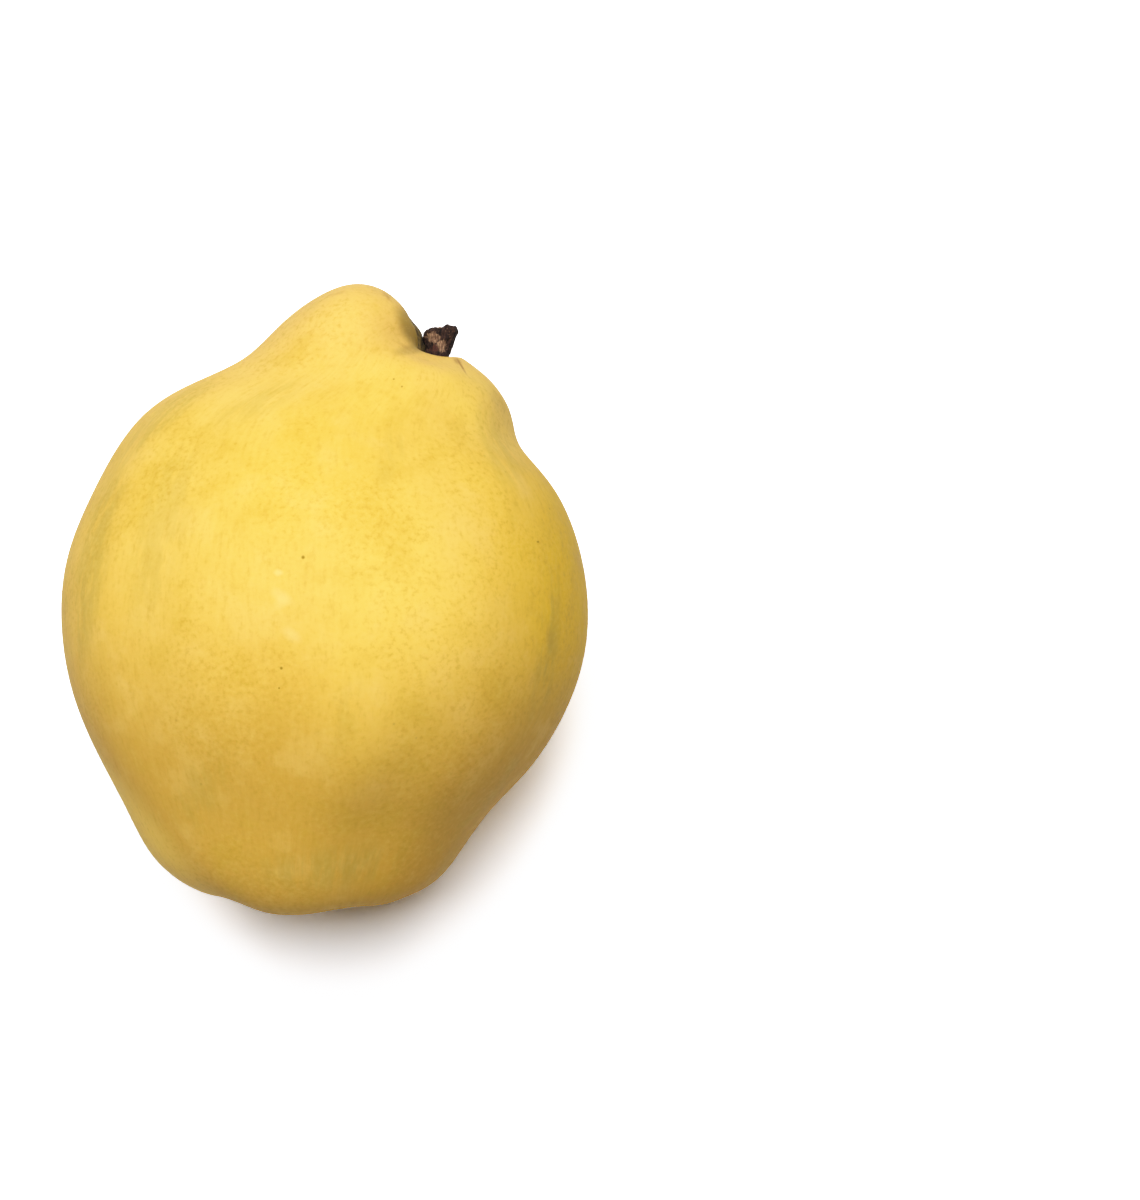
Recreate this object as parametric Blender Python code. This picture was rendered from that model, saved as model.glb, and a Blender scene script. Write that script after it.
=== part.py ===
"""A quince lying on its side: the fruit, the woody stub of its stem, and, in the basin at the
other end, five dried sepals round a tuft of withered stamens.

Metres, +Z up, with sizes given in mm and scaled by MM. The pieces are modelled in the fruit's own
axes, x across, y along the fruit towards the stem and z towards its upper side, and a parent
empty lays them down.
"""

import math

import bmesh
import bpy
import numpy as np
from mathutils import Matrix, Vector

MM = 0.001
STEM_END_RAISED = math.radians(12)   # the fruit's long axis above the surface it lies on
FLAT_SPOT_DEPTH = 1.0                # how much of the round belly is pressed flat
CLEARANCE = 0.35                     # between neighbouring pieces

FRUIT_RINGS = 63
FRUIT_SEGMENTS = 56

STEM_FOOT = (18.3, 38.5, 0.0)        # on the floor of the stem pit
STEM_TIP = (19.3, 44.7, -0.2)
STEM_SLANT = 0.22                    # how fast its broken end rises to the right, per mm
STEM_RINGS = 12
STEM_SEGMENTS = 20
STEM_OUTLINE = ((0.0, 0.0), (0.03, 1.4), (0.12, 2.0), (0.33, 2.0), (0.58, 2.35),
                (0.82, 2.75), (0.93, 2.7), (0.985, 1.9), (1.0, 0.0))   # share of length, radius

CALYX = (-2.0, -41.0)                # the eye, at the bottom of the basin
CUP_FALL = 0.045                     # how fast the floor of the cup falls away, per mm squared
SEPAL_FOOT_RADIUS = 3.9
SEPAL_WIDTH = 4.0
SEPAL_OUTLINE = ((0.0, 0.0), (0.03, 0.7), (0.15, 0.95), (0.35, 1.0), (0.7, 0.65),
                 (0.92, 0.25), (1.0, 0.0))                              # share of length, of width
SEPAL_THICKNESS = 0.7
SEPALS = ((92, 7.2, 2.4), (163, 6.2, 3.2), (236, 6.9, 2.1), (310, 5.6, 3.4), (20, 6.6, 2.8))
SEPAL_ROWS = 10
SEPAL_SEGMENTS = 12
TUFT_RADIUS = 2.5
TUFT_HEIGHT = 4.4
TUFT_ROWS = 8
TUFT_SEGMENTS = 20

# The fruit is a loft through rings, from the calyx eye to the floor of the stem pit. Each ring is
# given in mm by its left and right points (x across, y along the fruit), then for its upper side
# and for its underside by how deep it bulges and how far it is shifted towards the stem end.
RINGS = (
    ("calyx_eye",      (-2.0, -41.0), (-2.0, -41.0), (0.0, 0.0), (0.0, 0.0)),
    ("calyx_cup",      (-7.2, -42.2), (3.2, -42.2), (5.2, 0.0), (5.2, 0.0)),
    ("basin_wall",     (-11.0, -45.2), (6.8, -45.0), (9.0, 0.0), (9.0, 0.0)),
    ("basin_lip",      (-15.4, -47.4), (11.2, -47.6), (13.2, -1.0), (13.2, -0.6)),
    ("rim",            (-21.5, -45.0), (17.6, -46.3), (20.0, -2.6), (20.2, -1.6)),
    ("foot",           (-26.9, -39.9), (22.3, -41.3), (25.6, -2.2), (26.4, -1.4)),
    ("low_flank",      (-30.9, -32.8), (27.5, -34.3), (30.2, -1.0), (31.0, -0.6)),
    ("flank",          (-35.6, -24.6), (34.0, -27.0), (34.8, 0.0), (34.8, 0.0)),
    ("low_belly",      (-40.2, -14.9), (39.9, -17.0), (38.8, 0.0), (38.0, 0.0)),
    ("belly",          (-42.3, -4.0), (43.0, -6.0), (40.8, 0.0), (39.8, 0.0)),
    ("high_belly",     (-41.5, 7.0), (42.4, 6.0), (40.0, 0.0), (39.2, 0.0)),
    ("shoulder",       (-37.1, 18.0), (38.3, 17.5), (35.8, 0.0), (35.2, 0.0)),
    ("high_shoulder",  (-29.8, 29.4), (33.0, 24.5), (29.2, 0.0), (28.8, 0.0)),
    ("waist",          (-20.4, 35.7), (31.2, 29.0), (24.4, 0.0), (24.2, 0.0)),
    ("neck",           (-12.3, 39.8), (29.9, 32.8), (20.8, -0.6), (20.6, 0.0)),
    ("high_neck",      (-5.4, 46.2), (27.3, 36.0), (18.2, -3.0), (18.0, -1.6)),
    ("crown",          (3.7, 51.4), (24.4, 38.3), (14.8, -5.4), (14.6, -3.6)),
    ("pit_edge",       (10.9, 50.1), (22.4, 39.7), (9.4, -4.8), (9.4, -4.2)),
    ("high_pit_wall",  (14.3, 46.1), (22.0, 39.3), (6.2, -4.2), (6.6, -3.4)),
    ("pit_wall",       (16.1, 43.2), (21.5, 38.8), (4.5, -2.4), (4.5, -2.4)),
    ("pit_base",       (15.9, 39.4), (20.8, 37.6), (2.6, -0.3), (2.6, -0.3)),
    ("pit_floor",      (18.3, 38.0), (18.3, 38.0), (0.0, 0.0), (0.0, 0.0)),
)

# Swellings (+) and hollows (-) of the skin: ring position, spread in rings, angle round the fruit
# (0 right, 90 upper side, 180 left, 270 underside), spread in degrees, height in mm.
RELIEF = (
    (3.9, 1.3, 96, 18, 1.0),
    (3.9, 1.3, 48, 20, 0.5),
    (3.9, 1.4, 165, 18, 0.3),
    (3.9, 1.3, 232, 18, 0.6),
    (3.9, 1.3, 305, 17, 0.9),
    (2.6, 0.7, 66, 11, -0.9),
    (2.8, 0.8, 134, 11, -0.9),
    (3.2, 1.0, 199, 11, -1.2),
    (3.2, 1.0, 269, 12, -1.4),
    (3.0, 0.9, 345, 11, -1.1),
    (4.6, 0.6, 4, 14, 0.2),
    (6.6, 1.5, 64, 8, -0.7),
    (5.8, 1.6, 150, 22, 1.9),
    (4.8, 1.0, 88, 20, -0.3),
    (7.5, 1.2, 78, 22, 1.8),
    (9.2, 2.0, 46, 20, 1.2),
    (9.9, 1.3, 125, 8, -0.8),
    (8.7, 1.6, 139, 9, 0.5),
    (13.3, 0.9, 112, 17, -1.0),
    (14.6, 1.0, 62, 20, 0.6),
    (16.2, 1.4, 122, 20, 3.2),
    (18.6, 0.6, 112, 22, -1.4),
    (17.1, 0.8, 98, 15, 1.8),
    (18.9, 0.7, 232, 14, 1.0),
    (10.5, 2.0, 215, 9, -0.8),
    (13.2, 1.2, 235, 14, -1.0),
    (9.0, 2.0, 325, 9, -0.7),
    (12.0, 1.6, 300, 12, 0.8),
    (12.6, 1.2, 20, 10, -0.6),
)


def cubic_through(points, places, odd):
    """Smooth curve through evenly numbered points, read at places. The curve is mirrored past its
    two ends (even), or turned half a turn about them (odd), so that a loft closes smoothly."""
    points = np.asarray(points, float).reshape(len(points), -1)
    count = len(points)
    pull = 4 * np.eye(count) + np.eye(count, k=1) + np.eye(count, k=-1)
    for end, inner in ((0, 1), (count - 1, count - 2)):
        pull[end] = 0
        pull[end, end] = 6 if odd else 4
        pull[end, inner] = 0 if odd else 2
    knots = np.linalg.solve(pull, 6 * points)
    before = 2 * knots[0] - knots[1] if odd else knots[1]
    after = 2 * knots[-1] - knots[-2] if odd else knots[-2]
    knots = np.vstack((before, knots, after))
    span = np.clip(np.floor(places).astype(int), 0, count - 2)
    t = (places - span)[:, None]
    weights = ((1 - t) ** 3, 3 * t**3 - 6 * t**2 + 4, 3 * (t + t**2 - t**3) + 1, t**3)
    return sum(weight * knots[span + step] for step, weight in enumerate(weights)) / 6


def bell(distance, spread):
    return np.exp(-0.5 * (distance / spread) ** 2)


def fruit_skin(places, angles):
    """Points of the skin in mm, one row a ring. A ring is an ellipse on its left and right points,
    as deep and as shifted as its two sides say, and the relief moves it along the skin's normal."""
    left, right, upper, under = (np.array([row[column] for row in RINGS]) for column in range(1, 5))
    centre = cubic_through((left + right) / 2, places, odd=False)[:, None]
    half = cubic_through((right - left) / 2, places, odd=True)[:, None]
    reach = np.linalg.norm(half, axis=2, keepdims=True)
    normal = np.stack((-half[..., 1], half[..., 0]), axis=2) / np.maximum(reach, 1e-9)
    depths = cubic_through(np.column_stack((upper[:, 0], under[:, 0])), places, odd=True)[:, None]
    shifts = cubic_through(np.column_stack((upper[:, 1], under[:, 1])), places, odd=False)[:, None]

    cos = np.cos(angles)[None, :, None]
    sin = np.sin(angles)[None, :, None]
    share = np.concatenate((1 + sin, 1 - sin), axis=2) / 2
    shift = sin**2 * (share * shifts).sum(axis=2, keepdims=True)
    depth = sin * (share * depths).sum(axis=2, keepdims=True)
    skin = np.concatenate((centre + cos * half + shift * normal, depth), axis=2)

    along = np.gradient(skin, axis=0)
    closed = np.concatenate((skin[:, -2:-1], skin, skin[:, 1:2]), axis=1)
    around = (closed[:, 2:] - closed[:, :-2]) / 2
    outward = np.cross(along, around)
    outward /= np.maximum(np.linalg.norm(outward, axis=2, keepdims=True), 1e-9)
    height = np.zeros((len(places), len(angles)))
    for place, place_spread, angle, angle_spread, amount in RELIEF:
        turn = np.angle(np.exp(1j * (angles - math.radians(angle))))
        across = bell(turn, math.radians(angle_spread))
        height += amount * bell(places - place, place_spread)[:, None] * across[None, :]
    return skin + height[..., None] * outward


def clear_scene():
    for thing in list(bpy.data.objects):
        bpy.data.objects.remove(thing)


def plain_material(name, colour, roughness):
    material = bpy.data.materials.new(name)
    material.use_nodes = True
    shader = material.node_tree.nodes["Principled BSDF"]
    shader.inputs["Base Color"].default_value = (*colour, 1.0)
    shader.inputs["Roughness"].default_value = roughness
    shader.inputs["Metallic"].default_value = 0.0
    return material


def lofted(rows):
    """A closed body skinned over rows of points in mm. The first and last rows shrink to a point
    each, and every row between them is a ring."""
    body = bmesh.new()
    start = body.verts.new(rows[0][0] * MM)
    finish = body.verts.new(rows[-1][0] * MM)
    rings = [[body.verts.new(point * MM) for point in row] for row in rows[1:-1]]
    for ring, following in zip(rings, rings[1:]):
        for place in range(len(ring)):
            body.faces.new((ring[place - 1], ring[place], following[place], following[place - 1]))
    for place in range(len(rings[0])):
        body.faces.new((start, rings[0][place], rings[0][place - 1]))
        body.faces.new((finish, rings[-1][place - 1], rings[-1][place]))
    bmesh.ops.recalc_face_normals(body, faces=body.faces)
    return body


def finished(name, body, material, parent):
    mesh = bpy.data.meshes.new(name)
    body.to_mesh(mesh)
    body.free()
    mesh.shade_smooth()
    mesh.materials.append(material)
    piece = bpy.data.objects.new(name, mesh)
    piece.parent = parent
    bpy.context.collection.objects.link(piece)
    return piece


def ring_angles(segments):
    return np.linspace(0, 2 * math.pi, segments, endpoint=False)


def press_flat(body, down):
    """Cuts the lowest of the body level, which leaves a flat spot to lie on. Returns how far the
    flat spot is below the fruit's origin."""
    level = max(vert.co.dot(down) for vert in body.verts) - FLAT_SPOT_DEPTH * MM
    everything = body.verts[:] + body.edges[:] + body.faces[:]
    cut = bmesh.ops.bisect_plane(
        body, geom=everything, dist=1e-7, plane_co=down * level, plane_no=down, clear_outer=True
    )
    outline = [item for item in cut["geom_cut"] if isinstance(item, bmesh.types.BMEdge)]
    bmesh.ops.contextual_create(body, geom=outline)
    for edge in outline:
        edge.smooth = False
    bmesh.ops.recalc_face_normals(body, faces=body.faces)
    return level


def lay_down(pose, fruit, level):
    """Turns the pieces' parent so that the flat spot faces down, and puts the middle of the
    fruit's box over the origin, with the flat spot on the ground."""
    turn = Matrix.Rotation(STEM_END_RAISED, 3, "X")
    corners = np.array([turn @ vert.co for vert in fruit.data.vertices])
    middle = (corners.min(axis=0) + corners.max(axis=0)) / 2
    pose.rotation_euler.x = STEM_END_RAISED
    pose.location = (-middle[0], -middle[1], level)


def build_fruit(pose):
    """The one-piece fruit. Returns it and the level of its flat spot below its own origin."""
    places = np.linspace(0, len(RINGS) - 1, FRUIT_RINGS + 1)
    angles = np.linspace(0, 2 * math.pi, FRUIT_SEGMENTS + 1)
    body = lofted(fruit_skin(places, angles)[:, :-1])
    down = Vector((0, -math.sin(STEM_END_RAISED), -math.cos(STEM_END_RAISED)))
    level = press_flat(body, down)
    skin = plain_material("quince_skin", (0.90, 0.62, 0.13), 0.5)
    return finished("fruit", body, skin, pose), level


def build_stem(pose):
    """A woody stub that widens to the slanting scar where it broke off the twig."""
    share, radius = np.array(STEM_OUTLINE).T
    foot = np.array(STEM_FOOT) + (0, CLEARANCE, 0)
    tip = np.array(STEM_TIP)
    steps = np.interp(np.linspace(0, len(share) - 1, STEM_RINGS), np.arange(len(share)), share)
    length = np.linalg.norm(tip - foot)
    along = (tip - foot) / length
    across = np.cross(along, (0, 0, 1))
    across /= np.linalg.norm(across)
    outward = np.cross(across, along)
    turn = ring_angles(STEM_SEGMENTS)
    ring = np.cos(turn)[:, None] * across + np.sin(turn)[:, None] * outward
    reach = np.interp(steps, share, radius)
    slant = STEM_SLANT * (steps**2 * reach)[:, None] * np.cos(turn)[None, :]
    rows = foot + (steps * length)[:, None, None] * along + slant[..., None] * along
    rows = rows + reach[:, None, None] * ring
    wood = plain_material("stem_wood", (0.16, 0.09, 0.05), 0.85)
    return finished("stem", lofted(rows), wood, pose)


def build_sepal(pose, number, angle, length, flare, material):
    """A withered sepal: a thin tapering blade that leaves the cup and curls outwards."""
    step = (1 - np.cos(np.linspace(0, math.pi, SEPAL_ROWS))) / 2
    fullness = np.interp(step, *np.array(SEPAL_OUTLINE).T)
    radial = np.array((math.cos(math.radians(angle)), 0, math.sin(math.radians(angle))))
    sideways = np.array((-radial[2], 0, radial[0]))
    outwards = np.array((0, -1, 0))
    foot = calyx_floor(SEPAL_FOOT_RADIUS) + SEPAL_FOOT_RADIUS * radial + CLEARANCE * outwards
    middle = foot + np.outer(flare * step**2, radial) + np.outer(length * step, outwards)
    slope = np.gradient(middle, axis=0)
    thickness_way = np.cross(slope, sideways)
    thickness_way /= np.linalg.norm(thickness_way, axis=1, keepdims=True)
    turn = ring_angles(SEPAL_SEGMENTS)
    wide = SEPAL_WIDTH / 2 * fullness[:, None, None] * np.cos(turn)[None, :, None] * sideways
    thick = SEPAL_THICKNESS / 2 * fullness[:, None, None] * np.sin(turn)[None, :, None]
    rows = middle[:, None] + wide + thick * thickness_way[:, None]
    return finished(f"sepal_{number}", lofted(rows), material, pose)


def calyx_floor(radius):
    """The point of the calyx's axis level with the cup's floor at this radius."""
    return np.array((CALYX[0], CALYX[1] - CUP_FALL * radius**2, 0))


def build_stamen_tuft(pose):
    """The withered stamens and styles, as the blunt tuft that they make together."""
    step = np.linspace(0, math.pi / 2, TUFT_ROWS)
    base = calyx_floor(TUFT_RADIUS) + (0, -CLEARANCE, 0)
    reach = np.concatenate(([0], TUFT_RADIUS * np.cos(step[:-1]) ** 0.6, [0]))
    height = np.concatenate(([0], TUFT_HEIGHT * np.sin(step)))
    turn = ring_angles(TUFT_SEGMENTS)
    ring = np.stack((np.cos(turn), np.zeros(TUFT_SEGMENTS), np.sin(turn)), axis=1)
    rows = base + reach[:, None, None] * ring + height[:, None, None] * np.array((0, -1, 0))
    brown = plain_material("withered_stamens", (0.10, 0.055, 0.03), 0.9)
    return finished("stamen_tuft", lofted(rows), brown, pose)


def build_quince():
    clear_scene()
    pose = bpy.data.objects.new("lying_pose", None)
    bpy.context.collection.objects.link(pose)
    fruit, level = build_fruit(pose)
    build_stem(pose)
    sepal_brown = plain_material("dried_sepal", (0.17, 0.10, 0.055), 0.85)
    for number, (angle, length, flare) in enumerate(SEPALS, start=1):
        build_sepal(pose, number, angle, length, flare, sepal_brown)
    build_stamen_tuft(pose)
    lay_down(pose, fruit, level)


build_quince()
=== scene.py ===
"""A quince lying on its side on a pale floor, in soft light from above."""

import math

import bpy
import numpy as np
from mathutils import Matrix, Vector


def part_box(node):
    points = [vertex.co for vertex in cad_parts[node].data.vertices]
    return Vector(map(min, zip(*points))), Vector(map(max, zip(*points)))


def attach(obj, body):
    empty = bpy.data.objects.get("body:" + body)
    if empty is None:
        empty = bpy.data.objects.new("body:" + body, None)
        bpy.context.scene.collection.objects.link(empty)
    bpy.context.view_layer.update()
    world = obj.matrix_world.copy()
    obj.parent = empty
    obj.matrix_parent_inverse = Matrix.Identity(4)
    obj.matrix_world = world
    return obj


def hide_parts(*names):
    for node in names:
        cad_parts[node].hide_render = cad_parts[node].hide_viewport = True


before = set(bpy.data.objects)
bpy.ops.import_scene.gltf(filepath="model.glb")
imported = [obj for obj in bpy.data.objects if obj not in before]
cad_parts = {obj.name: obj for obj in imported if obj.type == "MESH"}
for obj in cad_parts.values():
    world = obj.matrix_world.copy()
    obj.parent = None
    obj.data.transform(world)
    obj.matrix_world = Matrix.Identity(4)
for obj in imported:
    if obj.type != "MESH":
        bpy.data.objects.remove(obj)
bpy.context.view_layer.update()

# ---------------------------------------------------------------------------------------------
# Fruit. One lopsided pome of firm flesh under a thin, waxy, felted skin. It grew round its core, so
# five lobes ring the calyx and the neck swelled past the stem. It lies on a spot pressed flat.

MM = 0.001
STEM_END_RAISED = math.radians(12)   # the fruit's long axis above the floor
FLAT_SPOT_EDGE = 0.1                 # how softly the flat spot turns into the belly, in mm
SKIN_ROWS = 300
SKIN_COLUMNS = 288

# Rings from the calyx eye to the floor of the stem pit, in mm: left point, right point (x across,
# y along the fruit), then depth and shift towards the stem of the upper side and of the underside.
RINGS = (
    ((-2.0, -41.0), (-2.0, -41.0), (0.0, 0.0), (0.0, 0.0)),       # calyx eye
    ((-7.2, -42.2), (3.2, -42.2), (5.2, 0.0), (5.2, 0.0)),        # cup that holds the sepals
    ((-11.0, -45.2), (6.8, -45.0), (9.0, 0.0), (9.0, 0.0)),       # wall of the basin
    ((-15.4, -47.4), (11.2, -47.6), (13.2, -1.0), (13.2, -0.6)),  # lip of the basin
    ((-21.5, -45.0), (17.6, -46.3), (20.0, -2.6), (20.2, -1.6)),  # lobed rim
    ((-26.9, -39.9), (22.3, -41.3), (25.6, -2.2), (26.4, -1.4)),  # foot
    ((-30.9, -32.8), (27.5, -34.3), (30.2, -1.0), (31.0, -0.6)),  # low flank
    ((-35.6, -24.6), (34.0, -27.0), (34.8, 0.0), (34.8, 0.0)),    # flank
    ((-40.2, -14.9), (39.9, -17.0), (38.8, 0.0), (38.0, 0.0)),    # low belly
    ((-42.3, -4.0), (43.0, -6.0), (40.8, 0.0), (39.8, 0.0)),      # belly
    ((-41.5, 7.0), (42.4, 6.0), (40.0, 0.0), (39.2, 0.0)),        # high belly
    ((-37.1, 18.0), (38.3, 17.5), (35.8, 0.0), (35.2, 0.0)),      # shoulder
    ((-29.8, 29.4), (33.0, 24.5), (29.2, 0.0), (28.8, 0.0)),      # high shoulder
    ((-20.4, 35.7), (31.2, 29.0), (24.4, 0.0), (24.2, 0.0)),      # waist
    ((-12.3, 39.8), (29.9, 32.8), (20.8, -0.6), (20.6, 0.0)),     # neck
    ((-5.4, 46.2), (27.3, 36.0), (18.2, -3.0), (18.0, -1.6)),     # high neck
    ((3.7, 51.4), (24.4, 38.3), (14.8, -5.4), (14.6, -3.6)),      # crown
    ((10.9, 50.1), (22.4, 39.7), (9.4, -4.8), (9.4, -4.2)),       # edge of the stem pit
    ((14.3, 46.1), (22.0, 39.3), (6.2, -4.2), (6.6, -3.4)),       # high wall of the pit
    ((16.1, 43.2), (21.5, 38.8), (4.5, -2.4), (4.5, -2.4)),       # wall of the pit
    ((15.9, 39.4), (20.8, 37.6), (2.6, -0.3), (2.6, -0.3)),       # foot of that wall
    ((18.3, 38.0), (18.3, 38.0), (0.0, 0.0), (0.0, 0.0)),         # floor of the pit
)

# Swellings (+) and hollows (-): ring position, spread in rings, angle round the fruit (0 right,
# 90 upper side, 180 left, 270 underside), spread in degrees, height in mm.
RELIEF = (
    (3.9, 1.3, 96, 18, 1.0),
    (3.9, 1.3, 48, 20, 0.5),
    (3.9, 1.4, 165, 18, 0.3),
    (3.9, 1.3, 232, 18, 0.6),
    (3.9, 1.3, 305, 17, 0.9),
    (2.6, 0.7, 66, 11, -0.9),
    (2.8, 0.8, 134, 11, -0.9),
    (3.2, 1.0, 199, 11, -1.2),
    (3.2, 1.0, 269, 12, -1.4),
    (3.0, 0.9, 345, 11, -1.1),
    (4.6, 0.6, 4, 14, 0.2),
    (6.6, 1.5, 64, 8, -0.7),
    (5.8, 1.6, 150, 22, 1.9),
    (4.8, 1.0, 88, 20, -0.3),
    (7.5, 1.2, 78, 22, 1.8),
    (9.2, 2.0, 46, 20, 1.2),
    (9.9, 1.3, 125, 8, -0.8),
    (8.7, 1.6, 139, 9, 0.5),
    (13.3, 0.9, 112, 17, -1.0),
    (14.6, 1.0, 62, 20, 0.6),
    (16.2, 1.4, 122, 20, 3.2),
    (18.6, 0.6, 112, 22, -1.4),
    (17.1, 0.8, 98, 15, 1.8),
    (18.9, 0.7, 232, 14, 1.0),
    (10.5, 2.0, 215, 9, -0.8),
    (13.2, 1.2, 235, 14, -1.0),
    (9.0, 2.0, 325, 9, -0.7),
    (12.0, 1.6, 300, 12, 0.8),
    (12.6, 1.2, 20, 10, -0.6),
)

# Faint waves all over the skin: waves round the fruit, waves from end to end, turn of each in
# radians, height in mm.
WAVES = (
    (5, 2.2, 0.4, 1.1, 0.16),
    (7, 3.4, 2.0, 0.3, 0.10),
    (3, 4.6, 5.1, 2.4, 0.10),
    (11, 5.2, 1.3, 4.0, 0.06),
    (9, 7.4, 3.9, 5.2, 0.05),
    (16, 9.0, 0.8, 2.9, 0.03),
)


def cubic_through(points, places, odd):
    """Smooth curve through evenly numbered points, read at places: a uniform cubic B-spline whose
    knots are solved so that it passes through each point. Past its ends the curve is mirrored
    (even), or turned half a turn about the end (odd), so that a loft closes smoothly there."""
    points = np.asarray(points, float).reshape(len(points), -1)
    count = len(points)
    pull = 4 * np.eye(count) + np.eye(count, k=1) + np.eye(count, k=-1)
    for end, inner in ((0, 1), (count - 1, count - 2)):
        pull[end] = 0
        pull[end, end] = 6 if odd else 4
        pull[end, inner] = 0 if odd else 2
    knots = np.linalg.solve(pull, 6 * points)
    before = 2 * knots[0] - knots[1] if odd else knots[1]
    after = 2 * knots[-1] - knots[-2] if odd else knots[-2]
    knots = np.vstack((before, knots, after))
    span = np.clip(np.floor(places).astype(int), 0, count - 2)
    t = (places - span)[:, None]
    weights = ((1 - t) ** 3, 3 * t**3 - 6 * t**2 + 4, 3 * (t + t**2 - t**3) + 1, t**3)
    return sum(weight * knots[span + step] for step, weight in enumerate(weights)) / 6


def bell(distance, spread):
    """A bell curve, 1 at no distance."""
    return np.exp(-0.5 * (distance / spread) ** 2)


def fruit_skin(places, angles):
    """The skin in mm, as a function of the place along the rings and the angle round the fruit. A
    point is its ring's centre, plus cos(angle) times half the line from the left to the right
    point, plus sin(angle) times the depth, plus sin(angle) squared times the shift along the
    ring's normal. Then the relief and the waves move it along the skin's own normal."""
    left, right, upper, under = (np.array([row[column] for row in RINGS]) for column in range(4))
    centre = cubic_through((left + right) / 2, places, odd=False)[:, None]
    half = cubic_through((right - left) / 2, places, odd=True)[:, None]
    reach = np.linalg.norm(half, axis=2, keepdims=True)
    normal = np.stack((-half[..., 1], half[..., 0]), axis=2) / np.maximum(reach, 1e-9)
    depths = cubic_through(np.column_stack((upper[:, 0], under[:, 0])), places, odd=True)[:, None]
    shifts = cubic_through(np.column_stack((upper[:, 1], under[:, 1])), places, odd=False)[:, None]

    cos = np.cos(angles)[None, :, None]
    sin = np.sin(angles)[None, :, None]
    share = np.concatenate((1 + sin, 1 - sin), axis=2) / 2
    shift = sin**2 * (share * shifts).sum(axis=2, keepdims=True)
    depth = sin * (share * depths).sum(axis=2, keepdims=True)
    skin = np.concatenate((centre + cos * half + shift * normal, depth), axis=2)

    along = np.gradient(skin, axis=0)
    closed = np.concatenate((skin[:, -1:], skin, skin[:, :1]), axis=1)
    around = (closed[:, 2:] - closed[:, :-2]) / 2
    outward = np.cross(along, around)
    outward /= np.maximum(np.linalg.norm(outward, axis=2, keepdims=True), 1e-9)
    height = np.zeros((len(places), len(angles)))
    for place, place_spread, angle, angle_spread, amount in RELIEF:
        turn = np.angle(np.exp(1j * (angles - math.radians(angle))))
        across = bell(turn, math.radians(angle_spread))
        height += amount * bell(places - place, place_spread)[:, None] * across[None, :]
    share = places / places[-1]
    fade = np.sin(math.pi * share) ** 0.5
    for round_count, end_count, round_turn, end_turn, amount in WAVES:
        wave = np.cos(2 * math.pi * end_count * share + end_turn)[:, None]
        wave = wave * np.cos(round_count * angles + round_turn)[None, :]
        height += amount * fade[:, None] * wave
    return skin + height[..., None] * outward


def lie_down(points):
    """Turns points about X, so that the stem end rises."""
    cos, sin = math.cos(STEM_END_RAISED), math.sin(STEM_END_RAISED)
    return points @ np.array(((1, 0, 0), (0, cos, -sin), (0, sin, cos))).T


def closed_surface(name, rows, marks, material):
    """A mesh of closed bodies. rows holds one grid of points in metres for each body, as body, row,
    place round the row. The first and the last row of a body shrink to a point each, joined by a
    fan of triangles, and the rings between them by quads. Each of the marks, a vector at every
    grid point, is kept as an attribute, for patterns that follow the surface."""
    bodies, count, around = rows.shape[:3]
    rings = np.arange((count - 2) * around).reshape(count - 2, around) + 1
    beside = np.roll(rings, -1, axis=1)
    points = (count - 2) * around + 2
    quads = np.stack((rings[:-1], rings[1:], beside[1:], beside[:-1]), axis=-1).reshape(-1, 4)
    first = np.stack((0 * rings[0], rings[0], beside[0]), axis=-1)
    last = np.stack((0 * rings[0] + points - 1, beside[-1], rings[-1]), axis=-1)
    faces = []
    for body in range(bodies):
        for corners in (quads, first, last):
            faces += (corners + body * points).tolist()

    def in_order(grid):
        middle = grid[:, 1:-1].reshape(bodies, -1, 3)
        return np.concatenate((grid[:, :1, 0], middle, grid[:, -1:, 0]), axis=1).reshape(-1, 3)

    mesh = bpy.data.meshes.new(name)
    mesh.from_pydata(in_order(rows).tolist(), [], faces)
    for mark, grid in marks.items():
        kept = mesh.attributes.new(mark, "FLOAT_VECTOR", "POINT")
        kept.data.foreach_set("vector", in_order(grid).ravel().astype(np.float32))
    mesh.shade_smooth()
    mesh.materials.append(material)
    piece = bpy.data.objects.new(name, mesh)
    bpy.context.scene.collection.objects.link(piece)
    return piece


def node(tree, kind, inputs=None, **settings):
    """Adds a node. inputs maps a socket's name or number to a value or to another node's output."""
    made = tree.nodes.new(kind)
    for name, value in settings.items():
        setattr(made, name, value)
    for name, value in (inputs or {}).items():
        if isinstance(value, bpy.types.NodeSocket):
            tree.links.new(value, made.inputs[name])
        else:
            made.inputs[name].default_value = value
    return made


def noise(tree, vector, scale, detail=2.0, roughness=0.5, stretch=(1, 1, 1)):
    """Noise from 0 to 1 at a scale given per unit of the vector, drawn out where stretch is low."""
    drawn = node(tree, "ShaderNodeMapping", {"Vector": vector, "Scale": stretch})
    settings = {"Vector": drawn.outputs[0], "Scale": scale, "Detail": detail, "Roughness": roughness}
    return node(tree, "ShaderNodeTexNoise", settings).outputs["Fac"]


def between(tree, value, low, high, to_low=0.0, to_high=1.0):
    """The value eased from to_low at low to to_high at high, and held there beyond them."""
    places = {"Value": value, "From Min": low, "From Max": high, "To Min": to_low, "To Max": to_high}
    return node(tree, "ShaderNodeMapRange", places, interpolation_type="SMOOTHSTEP").outputs[0]


def blend(tree, mask, first, second):
    """The first colour where the mask is 0, going over to the second where it is 1."""
    colours = {0: mask}
    for place, colour in ((6, first), (7, second)):
        colours[place] = colour if isinstance(colour, bpy.types.NodeSocket) else (*colour, 1.0)
    return node(tree, "ShaderNodeMix", colours, data_type="RGBA").outputs[2]


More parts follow.
